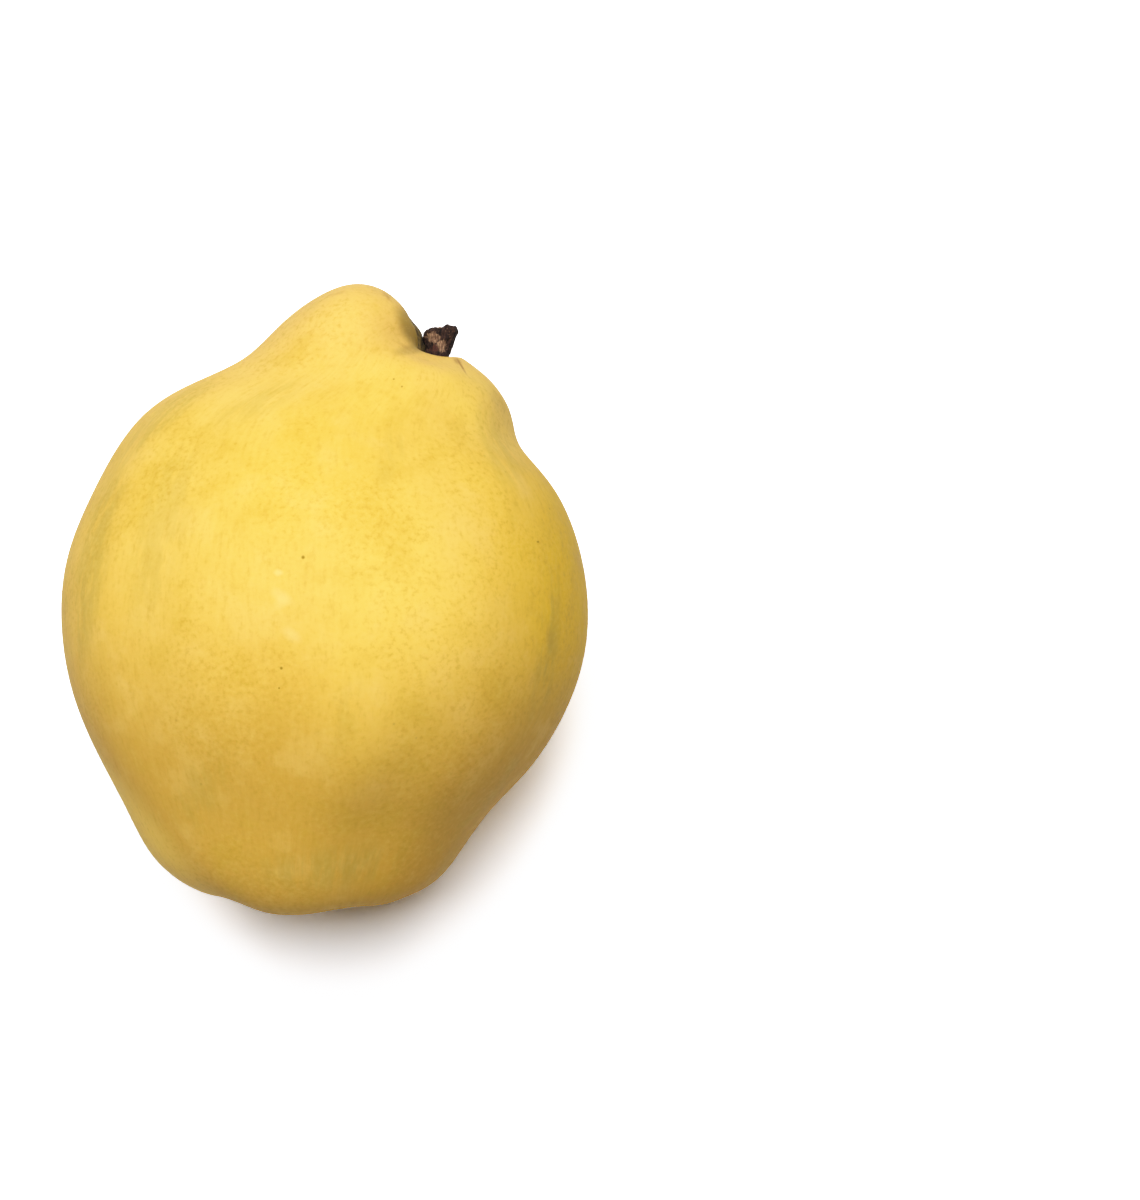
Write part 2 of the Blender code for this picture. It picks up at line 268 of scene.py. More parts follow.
def maths(tree, way, first, second, clamp=False):
    """One step of arithmetic on two values."""
    made = node(tree, "ShaderNodeMath", {0: first, 1: second}, operation=way, use_clamp=clamp)
    return made.outputs[0]


def attribute(tree, name):
    """A mark that the mesh carries, as a vector."""
    return node(tree, "ShaderNodeAttribute", attribute_name=name).outputs["Vector"]


def material_of(name, roughness, specular):
    """A material with a Principled shader of plain values. Returns it, its tree and the shader."""
    material = bpy.data.materials.new(name)
    material.use_nodes = True
    shader = material.node_tree.nodes["Principled BSDF"]
    shader.inputs["Roughness"].default_value = roughness
    shader.inputs["Specular IOR Level"].default_value = specular
    return material, material.node_tree, shader


def rough_bump(tree, shader, height, depth, strength=1.0):
    """Fine relief: the height, up to a depth in metres, tilts the shader's normal."""
    bump = node(tree, "ShaderNodeBump", {"Strength": strength, "Distance": depth, "Height": height})
    tree.links.new(bump.outputs[0], shader.inputs["Normal"])


def patch_mask(tree, position, middle, turn, size):
    """1 in the middle of a soft-edged ellipsoid, 0 outside it. size is its three half axes."""
    settings = {"Vector": position, "Location": middle, "Rotation": turn, "Scale": size}
    centred = node(tree, "ShaderNodeMapping", settings, vector_type="TEXTURE")
    away = node(tree, "ShaderNodeVectorMath", {0: centred.outputs[0]}, operation="LENGTH")
    return between(tree, away.outputs["Value"], 1.0, 0.3)


# Patches on the skin, in the fruit's own axes: middle in mm, turn in degrees in the plane of its
# two long axes, half length and half width in mm, strength. First the brown scuffs of the crown.
SCUFFS = (
    ((22.4, 38.2, 9.0), -53, 3.6, 0.17, 0.9),
    ((21.6, 39.0, 9.0), -50, 1.6, 0.60, 0.60),
    ((12.5, 47.7, 4.0), -58, 1.1, 0.30, 0.90),
    ((11.8, 48.5, 4.0), -50, 1.8, 0.60, 0.45),
    ((3.0, 49.0, 7.0), 8, 2.4, 0.50, 0.25),
    ((14.2, 40.4, 11.0), -35, 1.6, 0.40, 0.30),
)
# Paler cheeks, partly the skin's own paler tone and partly painted light, and small pale rubs near
# the middle of the upper side.
CHEEKS_AND_PAINTED_LIGHT = (
    ((14.0, -8.0, 36.0), 80, 30.0, 18.0, 0.50),
    ((-28.0, -37.0, 12.0), -50, 25.0, 7.5, 1.0),
    ((26.5, 31.0, 10.0), -55, 12.0, 7.0, 0.75),
    ((12.0, 33.0, 20.0), 0, 9.0, 8.0, 0.30),
)
PALE_RUBS = (
    ((-3.3, 4.1, 36.0), 0, 1.1, 0.8, 0.70),
    ((-2.1, 0.3, 36.0), -35, 3.0, 1.4, 0.55),
    ((-3.8, -0.9, 36.0), 60, 1.8, 1.4, 0.45),
    ((-0.6, -5.4, 36.0), -35, 2.6, 1.5, 0.60),
)
# Olive smudges, partly the skin's own olive streaks and partly painted shade at the edges and the
# bottom, and painted shade round the stem pit.
SMUDGES_AND_PAINTED_SHADE = (
    ((-22.0, 12.0, 30.0), 80, 22.0, 6.0, 0.34),
    ((-8.0, 31.0, 24.0), 30, 11.0, 3.4, 0.36),
    ((-24.0, 29.0, 18.0), 42, 17.0, 3.4, 0.45),
    ((-34.0, 6.0, 20.0), 80, 24.0, 4.0, 0.50),
    ((13.0, 22.0, 30.0), 70, 9.0, 3.0, 0.28),
    ((29.0, 24.0, 18.0), -70, 12.0, 3.0, 0.35),
    ((36.0, -6.0, 18.0), 88, 18.0, 3.4, 0.60),
    ((-16.0, -28.0, 28.0), 70, 14.0, 5.0, 0.30),
    ((6.0, -16.0, 34.0), 75, 14.0, 4.0, 0.22),
    ((2.0, -41.0, 22.0), 5, 16.0, 6.0, 0.55),
)
# painted shade on the flank of the stem pit and in the crease below it
PAINTED_PIT_SHADES = (
    ((15.0, 43.6, 9.0), -69, 5.4, 2.1, 0.75),
    ((14.6, 39.8, 12.0), 22, 4.6, 1.3, 0.40),
)
# The largest lenticels: across, along, radius, in mm.
LENTICELS = (
    (0.4, 6.4, 0.40),
    (-2.8, -10.2, 0.34),
    (-3.2, -13.2, 0.22),
    (12.8, 34.6, 0.28),
    (14.1, 33.4, 0.28),
    (35.4, 9.1, 0.30),
)
# Colours of the skin: broad tones, clouds, grain and specks, patches, and the russet hollows.
GOLD = (0.67, 0.405, 0.056)
PALE_GOLD = (0.70, 0.440, 0.085)
# less blue than the gold: partly the skin's own tone, partly painted shade-side colour with less
# sheen and warm bounce light
SHADE_SIDE_GREEN_GOLD = (0.68, 0.405, 0.003)
# darker and browner: partly the skin's own tone, partly painted shade for the lower end
DEEP_GOLD_AND_SHADE = (0.58, 0.332, 0.046)
# deep orange: painted shade
ORANGE_PAINTED_SHADE = (0.54, 0.265, 0.014)
# paler and bluer: painted sheen
CROWN_SHEEN_GOLD = (0.70, 0.425, 0.102)
# paler: partly painted light
CHEEK_AND_LIGHT_GOLD = (0.78, 0.500, 0.085)
CREAM = (0.75, 0.475, 0.115)
OLIVE = (0.53, 0.325, 0.030)
DARK_GRAIN = (0.44, 0.26, 0.020)
LIGHT_GRAIN = (0.80, 0.55, 0.130)
FRECKLE = (0.26, 0.17, 0.020)
LENTICEL = (0.21, 0.138, 0.001)
# olive: partly painted shade
SMUDGE_AND_SHADE_OLIVE = (0.40, 0.285, 0.040)
# painted shade round the stem pit
PAINTED_PIT_SHADE_OLIVE = (0.20, 0.14, 0.025)
PALE_RUB = (0.80, 0.53, 0.165)
SCUFF_BROWN = (0.34, 0.165, 0.028)
DARK_RUSSET = (0.060, 0.042, 0.016)
PALE_RUSSET = (0.24, 0.16, 0.055)


def patched(tree, position, middle, colour, patches, reach, tone, broken=None):
    """The colour with patches of a tone on it, each a soft-edged ellipsoid that reaches a distance in
    mm up and down through the skin. A mask may break them up."""
    for spot, turn, half_length, half_width, strength in patches:
        there = middle + lie_down(np.array(spot)) * MM
        turned = (STEM_END_RAISED, 0, math.radians(turn))
        size = (half_length * MM, half_width * MM, reach * MM)
        mask = patch_mask(tree, position, there, turned, size)
        if broken is not None:
            mask = maths(tree, "MULTIPLY", mask, broken)
        colour = blend(tree, maths(tree, "MULTIPLY", mask, strength), colour, tone)
    return colour


def quince_skin(middle):
    """Golden skin: broad tones that are greener to the right, partly painted shade-side colour,
    darker and browner towards the calyx, partly painted shade, paler at the crown as painted sheen,
    and deep orange in the lower right corner as painted shade; then cheeks, partly painted light,
    soft cream and olive clouds, smudges, partly painted shade, painted shade round the stem pit, a
    fine grain with faint stripes, freckles, pale rubs, lenticels, scuffs, and russet in the two
    hollows."""
    material, tree, shader = material_of("quince_skin", 0.62, 0.07)
    grain = attribute(tree, "grain")
    position = node(tree, "ShaderNodeTexCoord").outputs["Object"]
    place = node(tree, "ShaderNodeSeparateXYZ", {0: position}).outputs
    hollow = node(tree, "ShaderNodeSeparateXYZ", {0: attribute(tree, "hollow")}).outputs

    # broad tones, partly painted shade and sheen
    colour = blend(tree, between(tree, noise(tree, position, 30, 3.0), 0.3, 0.7), GOLD, PALE_GOLD)
    drift = maths(tree, "MULTIPLY", noise(tree, position, 45, 2.0), 0.5)
    # less blue towards the right: partly the skin's own tone, partly painted shade-side colour
    right = maths(tree, "ADD", maths(tree, "MULTIPLY", place["X"], 25.0), drift)
    colour = blend(tree, between(tree, right, 0.75, 1.50), colour, SHADE_SIDE_GREEN_GOLD)
    # darker and browner towards the calyx: painted shade on the underlit lower end, partly the skin's
    # own browner tone
    low = maths(tree, "ADD", maths(tree, "MULTIPLY", place["Y"], -25.0), drift)
    colour = blend(tree, between(tree, low, 0.40, 1.05, 0, 0.9), colour, DEEP_GOLD_AND_SHADE)
    # paler and bluer towards the crown: painted sheen from the light above the stem end
    colour = blend(tree, between(tree, place["Y"], 0.020, 0.042, 0, 0.8), colour, CROWN_SHEEN_GOLD)
    # deep orange in the lower right corner: painted shade
    corner = maths(tree, "SUBTRACT", place["X"], place["Y"])
    colour = blend(tree, between(tree, corner, 0.048, 0.072, 0, 0.9), colour, ORANGE_PAINTED_SHADE)
    # paler cheeks: partly the skin's own tone, partly painted light
    colour = patched(tree, position, middle, colour, CHEEKS_AND_PAINTED_LIGHT, 30, CHEEK_AND_LIGHT_GOLD)

    # soft clouds some millimetres wide
    clouds = noise(tree, position, 120, 5.0, 0.55)
    colour = blend(tree, between(tree, clouds, 0.50, 0.70, 0, 0.38), colour, CREAM)
    colour = blend(tree, between(tree, clouds, 0.50, 0.30, 0, 0.42), colour, OLIVE)

    # olive smudges, drawn out along the fruit, partly painted shade, and painted shade round the stem
    smeared = between(tree, noise(tree, grain, 0.35, 4.0, 0.6, (1, 1, 0.3)), 0.35, 0.60)
    colour = patched(tree, position, middle, colour, SMUDGES_AND_PAINTED_SHADE, 12, SMUDGE_AND_SHADE_OLIVE, smeared)
    # painted shade round the stem pit
    colour = patched(tree, position, middle, colour, PAINTED_PIT_SHADES, 10, PAINTED_PIT_SHADE_OLIVE)

    # fine grain, and faint stripes along the fruit that come and go
    fine = noise(tree, position, 1250, 3.0, 0.6)
    stripes = noise(tree, grain, 1.2, 3.0, 0.6, (1, 1, 0.24))
    striped = between(tree, noise(tree, position, 60, 1.0), 0.40, 0.60)
    texture = blend(tree, maths(tree, "MULTIPLY", striped, 0.55), fine, stripes)
    colour = blend(tree, between(tree, texture, 0.48, 0.72, 0, 0.42), colour, DARK_GRAIN)
    colour = blend(tree, between(tree, texture, 0.52, 0.28, 0, 0.18), colour, LIGHT_GRAIN)

    # faint freckles all over, and a few dark lenticels, with the pale rubs between
    freckles = node(tree, "ShaderNodeTexVoronoi", {"Vector": position, "Scale": 300.0})
    small = between(tree, freckles.outputs["Distance"], 0.10, 0.03)
    chosen = node(tree, "ShaderNodeSeparateColor", {0: freckles.outputs["Color"]})
    some = between(tree, chosen.outputs[0], 0.80, 1.0, 0, 0.35)
    colour = blend(tree, maths(tree, "MULTIPLY", small, some), colour, FRECKLE)
    pores = node(tree, "ShaderNodeTexVoronoi", {"Vector": position, "Scale": 75.0})
    rare = node(tree, "ShaderNodeSeparateColor", {0: pores.outputs["Color"]})
    few = between(tree, rare.outputs[1], 0.72, 0.90, 0, 0.75)
    dot = between(tree, pores.outputs["Distance"], 0.030, 0.012)
    colour = blend(tree, maths(tree, "MULTIPLY", dot, few), colour, LENTICEL)

    colour = patched(tree, position, middle, colour, PALE_RUBS, 12, PALE_RUB)
    large = [((across, along, 35.0), 0, radius, radius, 0.85) for across, along, radius in LENTICELS]
    colour = patched(tree, position, middle, colour, large, 30, LENTICEL)

    # scuffs, broken up so that they look rubbed
    rubbed = between(tree, noise(tree, position, 800, 4.0, 0.6), 0.28, 0.48)
    colour = patched(tree, position, middle, colour, SCUFFS, 12, SCUFF_BROWN, rubbed)

    # russet in the calyx basin and in the stem pit
    ragged = maths(tree, "SUBTRACT", noise(tree, position, 500, 5.0, 0.7), 0.5)
    basin = between(tree, maths(tree, "ADD", hollow["X"], ragged), 0.3, 0.8, 0, 0.8)
    frayed = maths(tree, "MULTIPLY", ragged, 0.5)
    pit = between(tree, maths(tree, "ADD", hollow["Y"], frayed), 0.15, 0.75)
    russet = blend(tree, between(tree, fine, 0.3, 0.7), DARK_RUSSET, PALE_RUSSET)
    colour = blend(tree, basin, colour, russet)
    colour = blend(tree, pit, colour, russet)
    tree.links.new(colour, shader.inputs["Base Color"])

    rough = between(tree, clouds, 0.3, 0.7, 0.56, 0.64)
    rough = maths(tree, "ADD", rough, maths(tree, "MULTIPLY", pit, 0.3), True)
    tree.links.new(rough, shader.inputs["Roughness"])
    height = maths(tree, "ADD", noise(tree, position, 1900, 2.0, 0.5), fine)
    rough_bump(tree, shader, height, 0.06 * MM, 0.35)
    shader.inputs["Subsurface Weight"].default_value = 0.12
    shader.inputs["Subsurface Radius"].default_value = (1.0, 0.5, 0.15)
    shader.inputs["Subsurface Scale"].default_value = 3 * MM
    return material


places = np.linspace(0, len(RINGS) - 1, SKIN_ROWS + 1)
angles = np.linspace(0, 2 * math.pi, SKIN_COLUMNS, endpoint=False)
own_skin = fruit_skin(places, angles)
laid = lie_down(own_skin) * MM
fruit_low, fruit_high = (np.array(corner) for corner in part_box("fruit"))
fruit_middle = (fruit_low + fruit_high - laid.min(axis=(0, 1)) - laid.max(axis=(0, 1))) / 2
fruit_middle[2] = fruit_high[2] - laid[..., 2].max()
fruit_rows = laid + fruit_middle
# pressed flat where it would reach below the floor, with a rounded edge to the flat spot
lift = fruit_rows[..., 2]
fruit_rows[..., 2] = (lift + np.sqrt(lift**2 + (FLAT_SPOT_EDGE * MM) ** 2)) / 2

# the grain runs along the fruit: two coordinates round it and the distance from the calyx, in mm
step_along = np.linalg.norm(np.diff(own_skin, axis=0), axis=2).mean(axis=1)
distance_along = np.concatenate(([0], np.cumsum(step_along)))
grain = np.empty(own_skin.shape)
grain[..., :2] = np.stack((np.cos(angles), np.sin(angles)), axis=1) * 40
grain[..., 2] = distance_along[:, None]
# how deep a point is in the calyx basin and in the stem pit, from 0 to 1
hollow = np.zeros(own_skin.shape)
hollow[..., 0] = np.interp(places, (1.2, 3.2), (1, 0))[:, None]
hollow[..., 1] = np.interp(places, (16.9, 18.4), (0, 1))[:, None]

skin_marks = {"grain": grain[None], "hollow": hollow[None]}
fruit = closed_surface("fruit_skin", fruit_rows[None], skin_marks, quince_skin(fruit_middle))
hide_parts("fruit")
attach(fruit, "root")

# ---------------------------------------------------------------------------------------------
# Stem. The woody stub that held the fruit on its twig, grown into the floor of the pit. Its bark is
# dry and ridged, and it flares to the ragged, blackened scar where it broke off.

STEM_FOOT = (18.3, 38.5, 0.0)
STEM_TIP = (19.3, 44.6, -0.2)
STEM_SLANT = 0.25   # how fast the broken end rises to the right, per mm
# share of the length from foot to tip, radius in mm; it starts a little inside the fruit
STEM_OUTLINE = ((-0.16, 0.0), (-0.12, 1.9), (0.04, 2.05), (0.2, 1.95), (0.36, 2.0), (0.52, 2.2),
                (0.68, 2.5), (0.82, 2.75), (0.92, 2.75), (0.99, 2.3), (1.0, 1.2), (0.99, 0.0))
# radius and length of the smooth stub that the bark's pattern is laid on
STEM_RADIUS = 2.2
STEM_LENGTH = 7.0
STEM_ROWS = 150
STEM_COLUMNS = 180
# dark and pale tone of the bark and of its patches, and the patches in the fruit's own axes:
# tones, middle and three half axes in mm
BLACK_BARK = ((0.003, 0.002, 0.002), (0.048, 0.022, 0.015))
BARE_WOOD = ((0.09, 0.038, 0.024), (0.40, 0.24, 0.13))
RED_BARK = ((0.020, 0.008, 0.006), (0.12, 0.040, 0.024))
BARK_PATCHES = (
    (BARE_WOOD, (17.9, 42.9, 2.2), (2.1, 1.3, 1.9)),
    (BARE_WOOD, (19.4, 41.6, 2.0), (1.4, 1.5, 1.7)),
    (BARE_WOOD, (19.0, 44.5, 1.6), (0.8, 0.4, 1.4)),
    (RED_BARK, (18.1, 41.1, 2.2), (1.5, 0.9, 1.6)),
)


def random_height(points, seed):
    """Smooth random heights from -1 to 1 over space: a random value at every corner of a lattice of
    unit cubes, blended in each cube by weights that are level at its faces."""
    cell = np.floor(points)
    part = points - cell
    part = part * part * (3 - 2 * part)
    height = np.zeros(points.shape[:-1])
    for corner in np.ndindex(2, 2, 2):
        value = np.sin((cell + corner) @ (127.1, 311.7, 74.7) + seed * 17.3) * 43758.5
        weight = np.where(corner, part, 1 - part).prod(axis=-1)
        height += weight * ((value - np.floor(value)) * 2 - 1)
    return height


def stem_bark(steps, turns):
    """The stub in mm. A point is the place on the line from foot to tip, plus the outline's radius
    in the direction of the angle, made rough by ridges along the bark and by lumps. Towards the
    broken end a ragged height is added along the line, and one splinter stands out of it."""
    share, radius = cubic_through(STEM_OUTLINE, steps * (len(STEM_OUTLINE) - 1), odd=True).T
    foot, tip = np.array(STEM_FOOT), np.array(STEM_TIP)
    length = np.linalg.norm(tip - foot)
    along = (tip - foot) / length
    across = np.cross(along, (0, 0, 1))
    across /= np.linalg.norm(across)
    round_it = np.cos(turns)[:, None] * across + np.sin(turns)[:, None] * np.cross(across, along)
    core = foot + share[:, None, None] * length * along
    smooth = core + radius[:, None, None] * round_it
    flat = core + round_it * STEM_RADIUS
    ridges = random_height(flat * (2.6, 0.5, 2.6), 1) * 0.16
    ridges += random_height(flat * (5, 1.2, 5), 2) * 0.09
    lumps = random_height(flat * 0.75, 3) * 0.22 + random_height(flat * 2.2, 4) * 0.16
    swell = np.clip(radius / 1.8, 0, 1)[:, None]
    rough = (ridges + lumps) * swell
    end = np.clip((share - 0.8) / 0.18, 0, 1)[:, None]
    ragged = random_height(smooth * (1.3, 0.1, 1.3), 5) * 0.35
    ragged += random_height(smooth * (3.1, 0.1, 3.1), 6) * 0.22
    splinter = bell(np.linalg.norm(smooth[..., ::2] - (20.1, 0.4), axis=2), 0.35) * 0.55
    slant = STEM_SLANT * (share**2 * radius)[:, None] * np.cos(turns)[None, :]
    rise = (ragged + splinter) * end + slant
    return smooth + rough[..., None] * round_it + rise[..., None] * along


def dried_fibre_group():
    """Dry plant matter: light and dark fibres along the grain, with speckles. Its height stands for
    the fibres' relief."""
    tree = bpy.data.node_groups.new("dried_fibre", "ShaderNodeTree")
    for name, kind in (("Grain", "NodeSocketVector"), ("Fineness", "NodeSocketFloat"),
                       ("Dark", "NodeSocketColor"), ("Pale", "NodeSocketColor")):
        tree.interface.new_socket(name, in_out="INPUT", socket_type=kind)
    tree.interface.new_socket("Colour", in_out="OUTPUT", socket_type="NodeSocketColor")
    tree.interface.new_socket("Height", in_out="OUTPUT", socket_type="NodeSocketFloat")
    entry = tree.nodes.new("NodeGroupInput").outputs
    leaving = tree.nodes.new("NodeGroupOutput").inputs
    fibres = noise(tree, entry["Grain"], entry["Fineness"], 4.0, 0.65, (1, 1, 0.14))
    speckle = noise(tree, entry["Grain"], maths(tree, "MULTIPLY", entry["Fineness"], 1.7), 5.0, 0.7)
    height = maths(tree, "ADD", fibres, maths(tree, "MULTIPLY", speckle, 0.6))
    tone = between(tree, height, 0.62, 1.0)
    tree.links.new(blend(tree, tone, entry["Dark"], entry["Pale"]), leaving["Colour"])
    tree.links.new(height, leaving["Height"])
    return tree


def dried_fibre(tree, grain, fineness, dark, pale):
    """The colour and height of dry plant matter in a material, between a dark and a pale tone."""
    made = node(tree, "ShaderNodeGroup", node_tree=DRIED_FIBRE)
    tree.links.new(grain, made.inputs["Grain"])
    made.inputs["Fineness"].default_value = fineness
    made.inputs["Dark"].default_value = (*dark, 1)
    made.inputs["Pale"].default_value = (*pale, 1)
    return made.outputs["Colour"], made.outputs["Height"]


def stem_wood():
    """Near-black bark with brown ridges, patches of bare tan wood and one of reddish inner bark."""
    material, tree, shader = material_of("stem_wood", 0.85, 0.2)
    position = node(tree, "ShaderNodeTexCoord").outputs["Object"]
    grain = attribute(tree, "grain")
    colour, height = dried_fibre(tree, grain, 3.0, *BLACK_BARK)
    torn = maths(tree, "SUBTRACT", noise(tree, position, 2400, 5.0, 0.75), 0.5)
    torn = maths(tree, "MULTIPLY", torn, 3.4)
    for tones, middle, size in BARK_PATCHES:
        there = fruit_middle + lie_down(np.array(middle)) * MM
        mask = patch_mask(tree, position, there, (STEM_END_RAISED, 0, 0), np.array(size) * MM)
        mask = between(tree, maths(tree, "ADD", mask, torn), 0.20, 0.90)
        colour = blend(tree, mask, colour, dried_fibre(tree, grain, 4.5, *tones)[0])
    tree.links.new(colour, shader.inputs["Base Color"])
    rough_bump(tree, shader, height, 0.25 * MM)
    return material


DRIED_FIBRE = dried_fibre_group()
steps = np.linspace(0, 1, STEM_ROWS)
turns = np.linspace(0, 2 * math.pi, STEM_COLUMNS, endpoint=False)
stem_rows = lie_down(stem_bark(steps, turns)) * MM + fruit_middle
stem_grain = np.empty(stem_rows.shape)
stem_grain[..., 0] = np.cos(turns) * STEM_RADIUS
stem_grain[..., 1] = np.sin(turns) * STEM_RADIUS
stem_grain[..., 2] = (steps * STEM_LENGTH)[:, None]
stem = closed_surface("stem_stub", stem_rows[None], {"grain": stem_grain[None]}, stem_wood())
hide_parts("stem")
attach(stem, "root")

# ---------------------------------------------------------------------------------------------
# Sepals. Five leaf-like tips of the calyx, left from the flower and dried brown. Each grows out of
# the cup's floor, thin and crinkled, with its edges rolled in and its tip curled.

CALYX = (-2.0, -41.0)
CUP_FALL = 0.045    # how fast the cup's floor falls away from the eye, per mm squared
SEPAL_FOOT_RADIUS = 3.9
SEPAL_WIDTH = 4.0
SEPAL_THICKNESS = 0.45
# share of the length, share of the width
SEPAL_OUTLINE = ((0.0, 0.0), (0.02, 0.75), (0.12, 0.95), (0.3, 1.05), (0.5, 0.9), (0.7, 0.62),
                 (0.86, 0.34), (0.96, 0.14), (1.0, 0.0))
# angle round the cup, length, flare, outward curl of the tip, twist in degrees
SEPALS = (
    (92, 7.2, 2.4, 1.6, 14),
    (163, 6.2, 3.2, 2.2, -18),
    (236, 6.9, 2.1, -0.8, 25),
    (310, 5.6, 3.4, 2.6, -10),
    (20, 6.6, 2.8, 0.6, -22),
)
SEPAL_ROWS = 70
SEPAL_COLUMNS = 72
DARK_SEPAL = (0.035, 0.018, 0.010)
PALE_SEPAL = (0.21, 0.13, 0.065)
GREY_DOWN = (0.30, 0.26, 0.17)


def calyx_floor(radius):
    """The point of the calyx's axis level with the cup's floor at this radius, in mm."""
    return np.array((CALYX[0], CALYX[1] - CUP_FALL * radius**2, 0))


def withered_sepal(number, angle, length, flare, curl, twist):
    """One sepal in mm. Its midline leaves the foot outwards, bends away by flare times the share
    squared, and curls by curl times the share to the fourth. A point is the midline, plus the
    width times cosine across it, plus the thickness times sine through it. The cross-section is
    cupped by cosine squared, raised along a midrib, and crinkled by random heights."""
    step = (1 - np.cos(np.linspace(0, math.pi, SEPAL_ROWS))) / 2
    turn = np.linspace(0, 2 * math.pi, SEPAL_COLUMNS, endpoint=False)
    fullness = np.interp(step, *np.array(SEPAL_OUTLINE).T)
    radial = np.array((math.cos(math.radians(angle)), 0, math.sin(math.radians(angle))))
    outwards = np.array((0, -1, 0))
    foot = calyx_floor(SEPAL_FOOT_RADIUS) + SEPAL_FOOT_RADIUS * radial - 0.5 * outwards
    lean = flare * step**2 + curl * step**4
    middle = foot + np.outer(lean, radial) + np.outer((length + 0.5) * step, outwards)
    slope = np.gradient(middle, axis=0)
    slope /= np.linalg.norm(slope, axis=1, keepdims=True)
    level = np.array((-radial[2], 0, radial[0]))
    raised = np.cross(slope, level)
    bend = math.radians(twist) * step[:, None]
    side = np.cos(bend) * level + np.sin(bend) * raised
    through = np.cross(slope, side)
    across = np.cos(turn)
    seen = np.stack(np.broadcast_arrays(across * 2.2, step[:, None] * length, number * 9.0), axis=2)
    edge = 1 + 0.22 * random_height(seen * (1.0, 2.4, 1.0), 7)
    half = SEPAL_WIDTH / 2 * fullness[:, None] * edge
    cup = 0.75 * across**2 * fullness[:, None]
    rib = -0.22 * bell(across, 0.12) * fullness[:, None]
    crinkle = 0.30 * random_height(seen * 1.3, 8) + 0.14 * random_height(seen * 3.1, 9)
    lift = cup + rib + crinkle * fullness[:, None]
    thick = SEPAL_THICKNESS / 2 * np.sqrt(fullness)[:, None] * np.sin(turn)
    wide = (half * across)[..., None] * side[:, None]
    skin = middle[:, None] + wide + (lift + thick)[..., None] * through[:, None]
    skin[0] = skin[0].mean(axis=0)
    skin[-1] = skin[-1].mean(axis=0)
    marks = np.stack(np.broadcast_arrays(across * 2, np.sin(turn), step[:, None] * length), axis=2)
    return skin, marks + (0, number * 5.0, 0)


def dry_leaf(name, dark, pale, fineness):
    """Dried brown plant matter with a bloom of grey down."""
    material, tree, shader = material_of(name, 0.9, 0.2)
    grain = attribute(tree, "grain")
    colour, height = dried_fibre(tree, grain, fineness, dark, pale)
    bloom = noise(tree, grain, 1.1, 4.0, 0.7)
    colour = blend(tree, between(tree, bloom, 0.52, 0.75, 0, 0.4), colour, GREY_DOWN)
    tree.links.new(colour, shader.inputs["Base Color"])
    rough_bump(tree, shader, height, 0.15 * MM)
    shader.inputs["Sheen Weight"].default_value = 0.3
    shader.inputs["Sheen Roughness"].default_value = 0.6
    return material


dried_sepal = dry_leaf("dried_sepal", DARK_SEPAL, PALE_SEPAL, 2.6)
for number, sepal in enumerate(SEPALS, start=1):
    own_rows, sepal_grain = withered_sepal(number, *sepal)
    sepal_rows = lie_down(own_rows) * MM + fruit_middle
    marks = {"grain": sepal_grain[None]}
    piece = closed_surface(f"withered_sepal_{number}", sepal_rows[None], marks, dried_sepal)
    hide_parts(f"sepal_{number}")
    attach(piece, "root")

# ---------------------------------------------------------------------------------------------
# Stamens and styles. Inside the sepals stand some twenty threads of withered stamen, each with a
# shrivelled anther at its end, round five stouter styles that are joined at the foot.

FILAMENTS = 22
STYLES = 5
THREAD_ROWS = 26
THREAD_COLUMNS = 10
DARK_THREAD = (0.022, 0.012, 0.008)
PALE_THREAD = (0.14, 0.085, 0.045)


